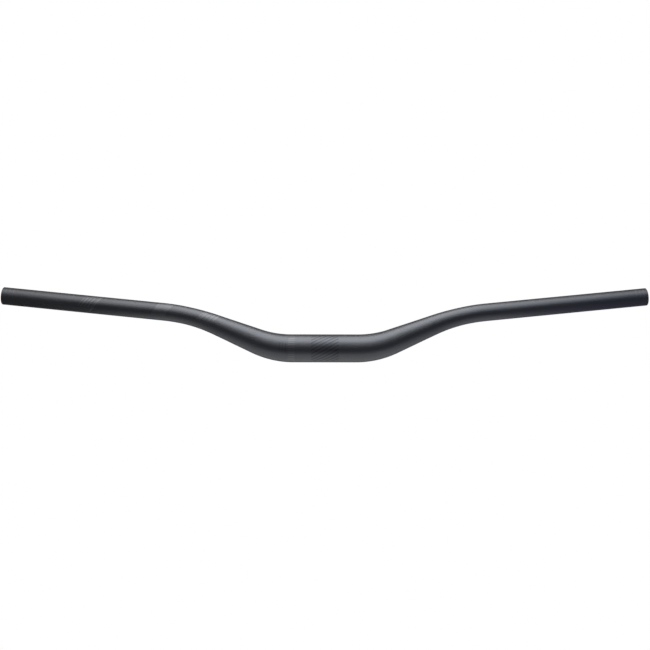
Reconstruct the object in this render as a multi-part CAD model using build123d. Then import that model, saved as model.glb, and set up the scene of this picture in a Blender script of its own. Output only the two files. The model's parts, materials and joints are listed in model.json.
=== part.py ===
from build123d import *
from math import radians, sqrt, tan
import os

# Riser handlebar for a bicycle: one butted aluminium tube, drawn down from a wide clamp to slim grips
# and bent twice on each side. The origin is the middle of the clamp, on the tube's axis.
# +X points to the front of the bike, +Y to the rider's left and +Z up.

# Driving dimensions in millimetres
overall_width = 820.0
clamp_diameter = 35.0
clamp_length = 72.0
clamp_wall = 2.3
grip_diameter = 22.2
grip_wall = 1.9
taper_length = 150.0
rise = 41.5
clamp_to_bend = 4.0
lower_bend_radius = 118.0
upper_bend_radius = 235.0
end_chamfer = 0.5

# Driving angles in degrees
riser_slope = 21.6
riser_backsweep = 4.9
upsweep = 5.0
backsweep = 8.0

# Steps between the sections that carry each tapered arm: before the lower bend, and from there on
straight_steps = 3
bent_steps = 24


def outward(back, up):
    """Unit direction that runs out to the rider's left, swept back and up by two angles."""
    return Vector(-tan(radians(back)), 1, tan(radians(up))).normalized()


def corner_setback(radius, before, after):
    """Distance from a corner of the axis to the ends of the arc that rounds it."""
    return radius * tan(radians(before.get_angle(after)) / 2)


# Axis of the left half: clamp, lower bend, riser, upper bend and grip
clamp_way = outward(0, 0)
riser_way = outward(riser_backsweep, riser_slope)
grip_way = outward(backsweep, upsweep)
clamp_end = clamp_length / 2
lower_setback = corner_setback(lower_bend_radius, clamp_way, riser_way)
upper_setback = corner_setback(upper_bend_radius, riser_way, grip_way)
lower_bend_start = clamp_end + clamp_to_bend
lower_corner = clamp_way * (lower_bend_start + lower_setback)
upper_corner = lower_corner + riser_way * (rise / riser_way.Z)

# The rim of a swept end face reaches further out than the axis does
end_rim_reach = (grip_diameter / 2 - end_chamfer) * sqrt(1 - grip_way.Y**2)
tip_y = overall_width / 2 - end_rim_reach
tip = upper_corner + grip_way * ((tip_y - upper_corner.Y) / grip_way.Y)
axis = FilletPolyline(
    (0, 0, 0), lower_corner, upper_corner, tip, radius=[lower_bend_radius, upper_bend_radius]
)

# The grip is parallel and straight from where both the taper and the upper bend have ended
upper_bend_end = axis.length - (tip - upper_corner).length + upper_setback
grip_start = max(clamp_end + taper_length, upper_bend_end)
grip_length = axis.length - grip_start


def taper_share(along):
    """0 up to the clamp's end and 1 where the tube reaches its grip size, easing in and out."""
    share = min(max((along - clamp_end) / taper_length, 0), 1)
    return share * share * (3 - 2 * share)


def outer_radius(along):
    """Outside of the tube at a distance along the axis from the middle of the bar."""
    return (clamp_diameter + (grip_diameter - clamp_diameter) * taper_share(along)) / 2


def inner_radius(along):
    """Inside of the tube, whose wall thins from the clamp to the grip."""
    wall = clamp_wall + (grip_wall - clamp_wall) * taper_share(along)
    return outer_radius(along) - wall


def round_section(along, radius):
    """Disc across the axis, with its seam on the underside of the bar."""
    place = axis.position_at(along, position_mode=PositionMode.LENGTH)
    way = axis.tangent_at(along, position_mode=PositionMode.LENGTH)
    return Plane(origin=place, x_dir=(0, 0, -1), z_dir=way) * Circle(radius)


def even_stations(start, end, steps):
    """Distances along the axis from start to end, both included."""
    return [start + (end - start) * number / steps for number in range(steps + 1)]


def bar_form(radius_at):
    """Solid bar whose radius follows a rule along the axis: clamp, two tapered arms and two grips."""
    clamp = extrude(round_section(0, radius_at(0)), clamp_end, both=True)
    stations = even_stations(clamp_end, lower_bend_start, straight_steps)
    stations += even_stations(lower_bend_start, grip_start, bent_steps)[1:]
    arm = loft([round_section(along, radius_at(along)) for along in stations])
    grip = extrude(round_section(grip_start, radius_at(grip_start)), grip_length)
    left = arm + grip
    return clamp + left + mirror(left, about=Plane.XZ)


# The bar is hollow from end to end, and both ends are deburred inside and out
handlebar = bar_form(outer_radius) - bar_form(inner_radius)
end_faces = handlebar.faces().filter_by(GeomType.PLANE)
handlebar = chamfer(end_faces.edges(), end_chamfer)

os.makedirs("parts", exist_ok=True)
export_step(handlebar, "parts/handlebar.step")
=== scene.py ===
import json
import math

import bpy
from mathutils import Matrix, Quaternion, Vector


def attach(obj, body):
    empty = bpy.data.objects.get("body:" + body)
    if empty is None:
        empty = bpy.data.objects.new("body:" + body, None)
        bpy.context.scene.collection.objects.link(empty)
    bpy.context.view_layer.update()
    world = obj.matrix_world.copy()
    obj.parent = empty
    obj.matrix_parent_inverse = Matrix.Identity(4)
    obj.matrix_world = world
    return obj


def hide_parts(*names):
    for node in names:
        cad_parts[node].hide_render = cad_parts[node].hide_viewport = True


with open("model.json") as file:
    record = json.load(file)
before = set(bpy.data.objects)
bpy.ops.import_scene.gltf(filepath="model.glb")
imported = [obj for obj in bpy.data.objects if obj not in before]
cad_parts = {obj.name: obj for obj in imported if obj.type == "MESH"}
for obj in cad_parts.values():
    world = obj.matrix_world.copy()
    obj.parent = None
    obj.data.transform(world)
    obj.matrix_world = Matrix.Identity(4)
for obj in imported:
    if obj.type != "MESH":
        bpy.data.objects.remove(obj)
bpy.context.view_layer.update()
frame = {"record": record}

# The bar is one butted aluminium tube, drawn down from a wide clamp to slim grips and bent twice on each
# side. It is hollow from end to end, shot-peened, faced and deburred at both ends, then black anodised.
# The marks on its front are printed in ink and lacquer, black on black.
mounts = {mount["name"]: mount for mount in frame["record"]["mounts"]}
clamp_radius = mounts["stem_clamp"]["dims"]["r_mm"] / 1000
clamp_end = mounts["stem_clamp"]["dims"]["length_mm"] / 2000
clamp_way = Vector(mounts["stem_clamp"]["axis"])
clamp_wall = 0.0023
clamp_bore_radius = clamp_radius - clamp_wall
grip_radius = mounts["left_grip"]["dims"]["r_mm"] / 1000
grip_bore_radius = mounts["left_end_bore"]["dims"]["r_mm"] / 1000
grip_way = Vector(mounts["left_grip"]["axis"]).normalized()
grip_middle = Vector(mounts["left_grip"]["pos_m"])
grip_half_length = mounts["left_grip"]["dims"]["length_mm"] / 2000
end_chamfer = 0.0005
taper_length = 0.150
rise = 0.0415
clamp_to_bend = 0.004
lower_bend_radius = 0.118
upper_bend_radius = 0.235
riser_slope = math.radians(21.6)
riser_backsweep = math.radians(4.9)
sides_round = 96
sharp_edge = math.radians(30)


def run_straight(stations, end, steps):
    """Carries the axis on in a straight line to a point."""
    along, start, way = stations[-1]
    for step in range(1, steps + 1):
        share = step / steps
        stations.append((along + (end - start).length * share, start.lerp(end, share), way))


def run_bend(stations, way_out, radius, steps):
    """Carries the axis on round a bend, until it runs in another direction."""
    along, start, way_in = stations[-1]
    side = (way_out - way_in * way_in.dot(way_out)).normalized()
    for step in range(1, steps + 1):
        turn = way_in.angle(way_out) * step / steps
        place = start + radius * (math.sin(turn) * way_in + (1 - math.cos(turn)) * side)
        way = math.cos(turn) * way_in + math.sin(turn) * side
        stations.append((along + radius * turn, place, way))


def mirrored(station):
    """The same station on the right half, with its direction still towards the left end."""
    along, place, way = station
    return -along, Vector((place.x, -place.y, place.z)), Vector((-way.x, way.y, -way.z))


# Axis of the left half: the clamp, the lower bend, the riser, the upper bend and the grip
riser_way = Vector((-math.tan(riser_backsweep), 1, math.tan(riser_slope))).normalized()
upper_corner = grip_middle - grip_way * ((grip_middle.z - rise) / grip_way.z)
upper_setback = upper_bend_radius * math.tan(riser_way.angle(grip_way) / 2)
left_half = [(0.0, Vector(), clamp_way)]
run_straight(left_half, clamp_way * clamp_end, steps=8)
run_straight(left_half, clamp_way * (clamp_end + clamp_to_bend), steps=2)
run_bend(left_half, riser_way, lower_bend_radius, steps=24)
run_straight(left_half, upper_corner - riser_way * upper_setback, steps=20)
run_bend(left_half, grip_way, upper_bend_radius, steps=28)
run_straight(left_half, grip_middle + grip_way * grip_half_length, steps=30)
skin_length, skin_end, _ = left_half[-1]
left_end = (skin_length + end_chamfer, skin_end + grip_way * end_chamfer, grip_way)
right_end = mirrored(left_end)
axis = [mirrored(station) for station in reversed(left_half[1:])] + left_half


def tapered(along, at_clamp, at_grip):
    """A radius of the tube, easing from its size at the clamp to its size at the grips."""
    share = min(max((abs(along) - clamp_end) / taper_length, 0), 1)
    return at_clamp + (at_grip - at_clamp) * share * share * (3 - 2 * share)


# Rings of the closed skin: over the outside, round the left end, back through the bore, round the right end
rings = [(station, tapered(station[0], clamp_radius, grip_radius)) for station in axis]
last_skin_ring = len(rings) - 1
rings += [(left_end, grip_radius - end_chamfer), (left_end, grip_bore_radius + end_chamfer)]
first_bore_ring = len(rings)
rings += [(station, tapered(station[0], clamp_bore_radius, grip_bore_radius)) for station in reversed(axis)]
last_bore_ring = len(rings) - 1
rings += [(right_end, grip_bore_radius + end_chamfer), (right_end, grip_radius - end_chamfer)]

# Each point keeps its place on the tube: how far along it is, and how far to the front and up from the axis
points = []
places_on_tube = []
for (along, centre, way), radius in rings:
    up = (Vector((0, 0, 1)) - way * way.z).normalized()
    front = way.cross(up)
    for side in range(sides_round):
        to_front = radius * math.cos(math.tau * side / sides_round)
        to_top = radius * math.sin(math.tau * side / sides_round)
        points.append(centre + to_front * front + to_top * up)
        places_on_tube += [along, to_front, to_top]

# Each face has the finish of its stretch: the outside, the bore or the rim of an end
outside_finish, bore_finish, rim_finish = range(3)
faces = []
finishes = []
for ring in range(len(rings)):
    here = ring * sides_round
    there = (ring + 1) % len(rings) * sides_round
    if ring < last_skin_ring:
        finish = outside_finish
    elif first_bore_ring <= ring < last_bore_ring:
        finish = bore_finish
    else:
        finish = rim_finish
    for side in range(sides_round):
        after = (side + 1) % sides_round
        faces.append((here + side, there + side, there + after, here + after))
        finishes.append(finish)

tube = bpy.data.meshes.new("handlebar_tube")
tube.from_pydata(points, [], faces)
tube.attributes.new("place_on_tube", "FLOAT_VECTOR", "POINT").data.foreach_set("vector", places_on_tube)
tube.polygons.foreach_set("material_index", finishes)
tube.shade_smooth()
tube.set_sharp_from_angle(angle=sharp_edge)


def linear(code):
    """Linear colour of an sRGB hex code."""
    shares = [int(code[start:start + 2], 16) / 255 for start in (1, 3, 5)]
    return [s / 12.92 if s <= 0.04045 else ((s + 0.055) / 1.055) ** 2.4 for s in shares] + [1.0]


def add_node(tree, kind, settings, inputs):
    """Adds a node with its settings, and gives each input a value or a link from another node's output."""
    node = tree.nodes.new(kind)
    for name, value in settings.items():
        setattr(node, name, value)
    for name, value in inputs.items():
        if isinstance(value, bpy.types.NodeSocket):
            tree.links.new(value, node.inputs[name])
        else:
            node.inputs[name].default_value = value
    return node


def new_material(name):
    """An empty material and its node tree."""
    material = bpy.data.materials.new(name)
    material.use_nodes = True
    material.node_tree.nodes.clear()
    return material, material.node_tree


# Shot-peened black anodised aluminium: a hard oxide, dyed through and sealed, on metal dimpled by fine shot.
# It is a cool near-black with a broad soft sheen, faint clouds in the dye and faint streaks from drawing.
# The dimples are about 0.3 mm across, and are drawn four times as large here so that they show.
dimple_size = 0.0012
dimple_depth = 0.00005
cloud_size = 0.05
streak_length = 0.08
streak_width = 0.0015
outside, tree = new_material("shot_peened_black_anodised_aluminium")
position = add_node(tree, "ShaderNodeTexCoord", {}, {}).outputs["Object"]
place = add_node(tree, "ShaderNodeAttribute", {"attribute_name": "place_on_tube"}, {}).outputs["Vector"]
dimples = add_node(tree, "ShaderNodeTexVoronoi", {}, {"Vector": position, "Scale": 1 / dimple_size})
clouds = add_node(tree, "ShaderNodeTexNoise", {}, {
    "Vector": position,
    "Scale": 1 / cloud_size,
    "Detail": 3.0,
})
lengthwise = add_node(tree, "ShaderNodeVectorMath", {"operation": "DIVIDE"}, {
    0: place,
    1: (streak_length, streak_width, streak_width),
})
streaks = add_node(tree, "ShaderNodeTexNoise", {}, {
    "Vector": lengthwise.outputs["Vector"],
    "Scale": 1.0,
    "Detail": 2.0,
})
dye_and_painted_light = add_node(tree, "ShaderNodeMixRGB", {}, {
    "Fac": clouds.outputs["Fac"],
    "Color1": linear("#101113"),
    "Color2": linear("#1b1c1f"),
})
sheen = add_node(tree, "ShaderNodeMapRange", {}, {
    "Value": streaks.outputs["Fac"],
    "From Min": 0.3,
    "From Max": 0.7,
    "To Min": 0.40,
    "To Max": 0.46,
})
grain = add_node(tree, "ShaderNodeBump", {}, {
    "Height": dimples.outputs["Distance"],
    "Distance": dimple_depth,
})

# The marks are patches of parallel lines, at a place along the tube and between two angles round it
split = add_node(tree, "ShaderNodeSeparateXYZ", {}, {"Vector": place}).outputs
turn = add_node(tree, "ShaderNodeMath", {"operation": "ARCTAN2"}, {0: split["Z"], 1: split["Y"]}).outputs[0]


def lined_patch(middle, width, low, high, end_slope, line_slope, spacing, line_width):
    """Mask of a patch of lines on the tube, which runs round it from a low to a high angle from the front.
    Its ends and its lines climb at their own slopes from the tube's length, so that 90 is square to it."""
    local_radius = tapered(middle, clamp_radius, grip_radius)
    low, high, end_slope, line_slope = (math.radians(angle) for angle in (low, high, end_slope, line_slope))
    aside = add_node(tree, "ShaderNodeMath", {"operation": "SUBTRACT"}, {0: split["X"], 1: middle})
    arc = add_node(tree, "ShaderNodeMath", {"operation": "MULTIPLY"}, {0: turn, 1: local_radius})
    foot = add_node(tree, "ShaderNodeMath", {"operation": "MULTIPLY_ADD"}, {
        0: arc.outputs[0],
        1: -1 / math.tan(end_slope),
        2: aside.outputs[0],
    })
    between_ends = add_node(tree, "ShaderNodeMath", {"operation": "COMPARE"}, {
        0: foot.outputs[0],
        1: 0.0,
        2: width / 2,
    })
    between_angles = add_node(tree, "ShaderNodeMath", {"operation": "COMPARE"}, {
        0: turn,
        1: (low + high) / 2,
        2: (high - low) / 2,
    })
    climb = add_node(tree, "ShaderNodeMath", {"operation": "MULTIPLY"}, {
        0: aside.outputs[0],
        1: -math.sin(line_slope),
    })
    across = add_node(tree, "ShaderNodeMath", {"operation": "MULTIPLY_ADD"}, {
        0: arc.outputs[0],
        1: math.cos(line_slope),
        2: climb.outputs[0],
    })
    from_line = add_node(tree, "ShaderNodeMath", {"operation": "PINGPONG"}, {
        0: across.outputs[0],
        1: spacing / 2,
    })
    on_line = add_node(tree, "ShaderNodeMath", {"operation": "LESS_THAN"}, {
        0: from_line.outputs[0],
        1: line_width / 2,
    })
    patch = add_node(tree, "ShaderNodeMath", {"operation": "MULTIPLY"}, {
        0: between_ends.outputs[0],
        1: between_angles.outputs[0],
    })
    return add_node(tree, "ShaderNodeMath", {"operation": "MULTIPLY"}, {
        0: patch.outputs[0],
        1: on_line.outputs[0],
    }).outputs[0]


def all_patches(patches):
    """One mask of several patches."""
    mask = patches[0]
    for patch in patches[1:]:
        mask = add_node(tree, "ShaderNodeMath", {"operation": "MAXIMUM"}, {0: mask, 1: patch}).outputs[0]
    return mask


# Matte black ink: a hatched block in the middle of the clamp, and the lines of a centring scale beside it
clamp_block = lined_patch(
    middle=0.0004, width=0.0342, low=-58, high=76, end_slope=90,
    line_slope=31, spacing=0.0039, line_width=0.0015,
)
centring_scale = lined_patch(
    middle=-0.0524, width=0.0089, low=-10, high=28, end_slope=90,
    line_slope=90, spacing=0.0037, line_width=0.0007,
)
inked = all_patches([clamp_block, centring_scale])

# Satin lacquer: a hatched band on the right grip, and the broad stroke that ends it
grip_band = lined_patch(
    middle=-0.3080, width=0.0180, low=-12, high=80, end_slope=58,
    line_slope=58, spacing=0.0038, line_width=0.0019,
)
grip_stroke_width = 0.0024
grip_stroke = lined_patch(
    middle=-0.2970, width=grip_stroke_width, low=-45, high=80, end_slope=58,
    line_slope=58, spacing=grip_stroke_width, line_width=grip_stroke_width,
)
lacquered = all_patches([grip_band, grip_stroke])

# A thin coat of the lacquer: the dashes of a turning scale on the clamp, a hatched band on the right riser,
# a plain panel next to it on the grip's side, and trim lines at 5, 10 and 15 mm from both ends
turning_scale = lined_patch(
    middle=-0.0414, width=0.0082, low=-56, high=76, end_slope=90,
    line_slope=0, spacing=0.0031, line_width=0.0015,
)
riser_band = lined_patch(
    middle=-0.1570, width=0.0195, low=-12, high=80, end_slope=60,
    line_slope=64, spacing=0.0041, line_width=0.0031,
)
panel_width = 0.0185
riser_panel = lined_patch(
    middle=-0.2128, width=panel_width, low=-20, high=80, end_slope=62,
    line_slope=62, spacing=panel_width, line_width=panel_width,
)
trim_spacing = 0.005
trim_line_width = 0.0008
trim_lines = [
    lined_patch(
        middle=side * (skin_length - 2 * trim_spacing), width=2 * trim_spacing + trim_line_width,
        low=0, high=80, end_slope=90,
        line_slope=90, spacing=trim_spacing, line_width=trim_line_width,
    )
    for side in (-1, 1)
]
thinly_lacquered = all_patches([turning_scale, riser_band, riser_panel] + trim_lines)

# Ink is blacker and a little duller than the oxide
ink_dullness = 0.04
colour = add_node(tree, "ShaderNodeMixRGB", {}, {
    "Fac": inked,
    "Color1": dye_and_painted_light.outputs["Color"],
    "Color2": linear("#0b0b0d"),
})
roughness = add_node(tree, "ShaderNodeMath", {"operation": "MULTIPLY_ADD"}, {
    0: inked,
    1: ink_dullness,
    2: sheen.outputs["Result"],
})

# The sealed face of the oxide mirrors as a thin clear coat does. Ink hides it, and lacquer builds it up.
sealed_coat = 0.4
ink_coat = 0.0
lacquer_coat = 1.0
thin_lacquer_coat = 0.78
coat = sealed_coat
for mark, mark_coat in ((inked, ink_coat), (lacquered, lacquer_coat), (thinly_lacquered, thin_lacquer_coat)):
    coat = add_node(tree, "ShaderNodeMath", {"operation": "MULTIPLY_ADD"}, {
        0: mark,
        1: mark_coat - sealed_coat,
        2: coat,
    }).outputs[0]
shader = add_node(tree, "ShaderNodeBsdfPrincipled", {}, {
    "Base Color": colour.outputs["Color"],
    "Roughness": roughness.outputs[0],
    "IOR": 1.6,
    "Specular Tint": linear("#edf5ff"),
    "Coat Weight": coat,
    "Coat Roughness": 0.43,
    "Coat IOR": 1.7,
    "Normal": grain.outputs["Normal"],
})
add_node(tree, "ShaderNodeOutputMaterial", {}, {"Surface": shader.outputs["BSDF"]})

# Drawn and black anodised aluminium, inside the tube: the dye lies on metal that the shot never reached,
# so it is dull and has streaks and shallow scores along its length, about a millimetre wide.
score_length = 0.12
score_width = 0.0012
score_depth = 0.00003
bore, tree = new_material("drawn_anodised_bore_painted_lighter")
place = add_node(tree, "ShaderNodeAttribute", {"attribute_name": "place_on_tube"}, {}).outputs["Vector"]
lengthwise = add_node(tree, "ShaderNodeVectorMath", {"operation": "DIVIDE"}, {
    0: place,
    1: (score_length, score_width, score_width),
})
scores = add_node(tree, "ShaderNodeTexNoise", {}, {
    "Vector": lengthwise.outputs["Vector"],
    "Scale": 1.0,
    "Detail": 4.0,
})
# Painted light: the bore's greys are far lighter than the black outside, standing in for light inside the
# tube
dye_and_painted_light = add_node(tree, "ShaderNodeMixRGB", {}, {
    "Fac": scores.outputs["Fac"],
    "Color1": linear("#3c3d40"),
    "Color2": linear("#66686c"),
})
dullness = add_node(tree, "ShaderNodeMapRange", {}, {
    "Value": scores.outputs["Fac"],
    "To Min": 0.65,
    "To Max": 0.35,
})
relief = add_node(tree, "ShaderNodeBump", {}, {"Height": scores.outputs["Fac"], "Distance": score_depth})
shader = add_node(tree, "ShaderNodeBsdfPrincipled", {}, {
    "Base Color": dye_and_painted_light.outputs["Color"],
    "Roughness": dullness.outputs["Result"],
    "IOR": 1.77,
    "Normal": relief.outputs["Normal"],
})
add_node(tree, "ShaderNodeOutputMaterial", {}, {"Surface": shader.outputs["BSDF"]})

# Turned and black anodised aluminium, on both ends: faced and deburred after the peening, so it is smoother
# than the rest, with rings from the tool. Its greys are painted far lighter than the outside: a painted
# highlight.
# The rings are about 0.05 mm apart, and are drawn three times as far apart here so that they show.
ring_spacing = 0.00015
ring_depth = 0.000008
rim, tree = new_material("turned_anodised_rim_painted_lighter")
place = add_node(tree, "ShaderNodeAttribute", {"attribute_name": "place_on_tube"}, {}).outputs["Vector"]
outward = add_node(tree, "ShaderNodeVectorMath", {"operation": "MULTIPLY"}, {0: place, 1: (0.0, 1.0, 1.0)})
radius = add_node(tree, "ShaderNodeVectorMath", {"operation": "LENGTH"}, {0: outward.outputs["Vector"]})
cuts = add_node(tree, "ShaderNodeTexNoise", {"noise_dimensions": "1D"}, {
    "W": radius.outputs["Value"],
    "Scale": 1 / ring_spacing,
    "Detail": 1.0,
})
# Painted highlight: the rim's greys are far lighter than the black outside, standing in for light on the
# ends
dye_and_painted_light = add_node(tree, "ShaderNodeMixRGB", {}, {
    "Fac": cuts.outputs["Fac"],
    "Color1": linear("#3c3f43"),
    "Color2": linear("#5f6267"),
})
polish = add_node(tree, "ShaderNodeMapRange", {}, {
    "Value": cuts.outputs["Fac"],
    "To Min": 0.25,
    "To Max": 0.4,
})
relief = add_node(tree, "ShaderNodeBump", {}, {"Height": cuts.outputs["Fac"], "Distance": ring_depth})
shader = add_node(tree, "ShaderNodeBsdfPrincipled", {}, {
    "Base Color": dye_and_painted_light.outputs["Color"],
    "Roughness": polish.outputs["Result"],
    "IOR": 1.77,
    "Normal": relief.outputs["Normal"],
})
add_node(tree, "ShaderNodeOutputMaterial", {}, {"Surface": shader.outputs["BSDF"]})

# The finishes go on in the order by which the faces count them
for finish in (outside, bore, rim):
    tube.materials.append(finish)
handlebar = bpy.data.objects.new("handlebar_tube", tube)
bpy.context.scene.collection.objects.link(handlebar)
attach(handlebar, "root")
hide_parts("handlebar")

# The floor is a white sweep of studio paper below the bar. Close to the bar it is plain paper, which
# takes the bar's shadow, and further out it is as white as the room behind it.
floor_height = -0.5
floor_reach = 30.0
plain_paper_half_size = (0.32, 0.8, 1.0)


def seen_rays(tree):
    """1 on rays that see the set from the camera, in a gloss or through glass, and 0 on all others."""
    rays = add_node(tree, "ShaderNodeLightPath", {}, {}).outputs
    seen = rays["Is Camera Ray"]
    for kind in ("Is Glossy Ray", "Is Transmission Ray"):
        seen = add_node(tree, "ShaderNodeMath", {"operation": "ADD", "use_clamp": True}, {
            0: seen,
            1: rays[kind],
        }).outputs[0]
    return seen


paper, tree = new_material("matte_white_paper")
spot = add_node(tree, "ShaderNodeTexCoord", {}, {}).outputs["Object"]
spot = add_node(tree, "ShaderNodeVectorMath", {"operation": "DIVIDE"}, {0: spot, 1: plain_paper_half_size})
distance = add_node(tree, "ShaderNodeVectorMath", {"operation": "LENGTH"}, {0: spot.outputs["Vector"]})
far = add_node(tree, "ShaderNodeMapRange", {"interpolation_type": "SMOOTHSTEP"}, {
    "Value": distance.outputs["Value"],
    "From Min": 0.5,
    "From Max": 1.0,
})
white = add_node(tree, "ShaderNodeMath", {"operation": "MULTIPLY"}, {
    0: seen_rays(tree),
    1: far.outputs["Result"],
})
matte = add_node(tree, "ShaderNodeBsdfDiffuse", {}, {"Color": linear("#faf8f5")})
glow = add_node(tree, "ShaderNodeEmission", {}, {"Color": linear("#ffffff"), "Strength": 1.0})
mixed = add_node(tree, "ShaderNodeMixShader", {}, {
    0: white.outputs[0],
    1: matte.outputs["BSDF"],
    2: glow.outputs["Emission"],
})
add_node(tree, "ShaderNodeOutputMaterial", {}, {"Surface": mixed.outputs["Shader"]})
corners = [(x * floor_reach, y * floor_reach, 0.0) for x, y in ((-1, -1), (1, -1), (1, 1), (-1, 1))]
sheet = bpy.data.meshes.new("floor_paper")
sheet.from_pydata(corners, [], [(0, 1, 2, 3)])
sheet.materials.append(paper)
floor = bpy.data.objects.new("floor_paper", sheet)
floor.location.z = floor_height
bpy.context.scene.collection.objects.link(floor)

# Curtains of studio cloth hang round the set, out of the picture, and cover the paper except under the bar.
# The bar mirrors them: dim on all sides, darkest at the front and cool on its left, under a pale ceiling.
# The back curtain slopes forward to the ceiling's edge, so that the top of the bar has a thin dark outline.
# The cloths are lit by no lamp: each glows with its own painted light at its level, and is seen only in
# gloss
curtain_x = 1.3
ceiling_back = -0.6
curtain_y = 1.0
curtain_low = -0.3
curtain_top = 1.6
opening_back = -0.22
opening_front = 0.36
opening_y = 0.36
# Colour and level of each cloth's painted glow, in the order of the faces: the ceiling, then each side from
# below
painted_cloth_glows = (
    ("pale_ceiling", "#fff4ec", 0.75),
    ("right_low_cloth", "#ffffff", 0.085),
    ("right_curtain", "#ffffff", 0.12),
    ("front_low_cloth", "#ddd6ff", 0.2),
    ("front_curtain", "#ffffff", 0.025),
    ("left_low_cloth", "#d6d4ff", 0.25),
    ("left_curtain", "#98b8ff", 0.24),
    ("back_low_cloth", "#ddd6ff", 0.32),
    ("back_curtain", "#ffffff", 0.16),
)
points = []
for opening_x, foot_x, top_x, side in (
    (opening_back, -curtain_x, ceiling_back, -1),
    (opening_front, curtain_x, curtain_x, -1),
    (opening_front, curtain_x, curtain_x, 1),
    (opening_back, -curtain_x, ceiling_back, 1),
):
    points.append((opening_x, side * opening_y, curtain_low))
    points.append((foot_x, side * curtain_y, curtain_low))
    points.append((top_x, side * curtain_y, curtain_top))
faces = [(2, 5, 8, 11)]
for corner in range(4):
    here = 3 * corner
    there = 3 * ((corner + 1) % 4)
    faces.append((here, there, there + 1, here + 1))
    faces.append((here + 1, there + 1, there + 2, here + 2))
drape = bpy.data.meshes.new("studio_curtain")
drape.from_pydata(points, [], faces)
for face, (name, tint, level) in enumerate(painted_cloth_glows):
    cloth, tree = new_material(name)
    glow = add_node(tree, "ShaderNodeEmission", {}, {"Color": linear(tint), "Strength": level})
    add_node(tree, "ShaderNodeOutputMaterial", {}, {"Surface": glow.outputs["Emission"]})
    drape.materials.append(cloth)
    drape.polygons[face].material_index = face
curtain = bpy.data.objects.new("studio_curtain", drape)
curtain.visible_camera = False
curtain.visible_diffuse = False
curtain.visible_shadow = False
bpy.context.scene.collection.objects.link(curtain)

# Three softboxes, which are lamps behind white cloth, hang level over the bar and draw the long sheen on it.
# One lies across the clamp, and one over each grip reaches further forward.
softbox_height = 0.7
softboxes = (
    ("top_softbox", "#f8faff", 3.65, 0.13, 0.0, 0.83, 0.59),
    ("right_softbox", "#fcfaff", 2.0, 0.53, -0.43, 1.4, 0.43),
    ("left_softbox", "#f2f6ff", 2.08, 0.53, 0.43, 1.4, 0.43),
)
for name, tint, radiance, front, aside, depth, length in softboxes:
    lamp = bpy.data.lights.new(name, "AREA")
    lamp.shape = "RECTANGLE"
    lamp.size = depth
    lamp.size_y = length
    lamp.energy = radiance * math.pi * length * depth
    lamp.color = linear(tint)[:3]
    softbox = bpy.data.objects.new(name, lamp)
    softbox.location = (front, aside, softbox_height)
    bpy.context.scene.collection.objects.link(softbox)

# The room beyond the floor is white, and fills the shadows with a part of that light, as white walls do.
# It has no surfaces of its own.
room_fill = 0.47
world = bpy.data.worlds.new("white_room")
world.use_nodes = True
tree = world.node_tree
tree.nodes.clear()
level = add_node(tree, "ShaderNodeMapRange", {}, {
    "Value": seen_rays(tree),
    "To Min": room_fill,
    "To Max": 1.0,
})
sky = add_node(tree, "ShaderNodeBackground", {}, {
    "Color": linear("#ffffff"),
    "Strength": level.outputs["Result"],
})
add_node(tree, "ShaderNodeOutputWorld", {}, {"Surface": sky.outputs["Background"]})
bpy.context.scene.world = world

# The camera stands in front of the bar and a little above it, and looks slightly down. Its distance and
# angle of view frame the bar from edge to edge.
camera_distance = 2.2
camera_elevation = math.radians(5.187)
camera_angle = math.radians(20.91)
camera_roll = 0.0016
aim = Vector((0, 0.0004, 0.0293))
lens = bpy.data.cameras.new("camera")
lens.angle = camera_angle
camera = bpy.data.objects.new("camera", lens)
camera.location = camera_distance * Vector((math.cos(camera_elevation), 0, math.sin(camera_elevation)))
look = (aim - camera.location).to_track_quat("-Z", "Y")
camera.rotation_mode = "QUATERNION"
camera.rotation_quaternion = look @ Quaternion((0, 0, 1), camera_roll)
bpy.context.scene.collection.objects.link(camera)
bpy.context.scene.camera = camera
bpy.context.scene.view_settings.view_transform = "Standard"
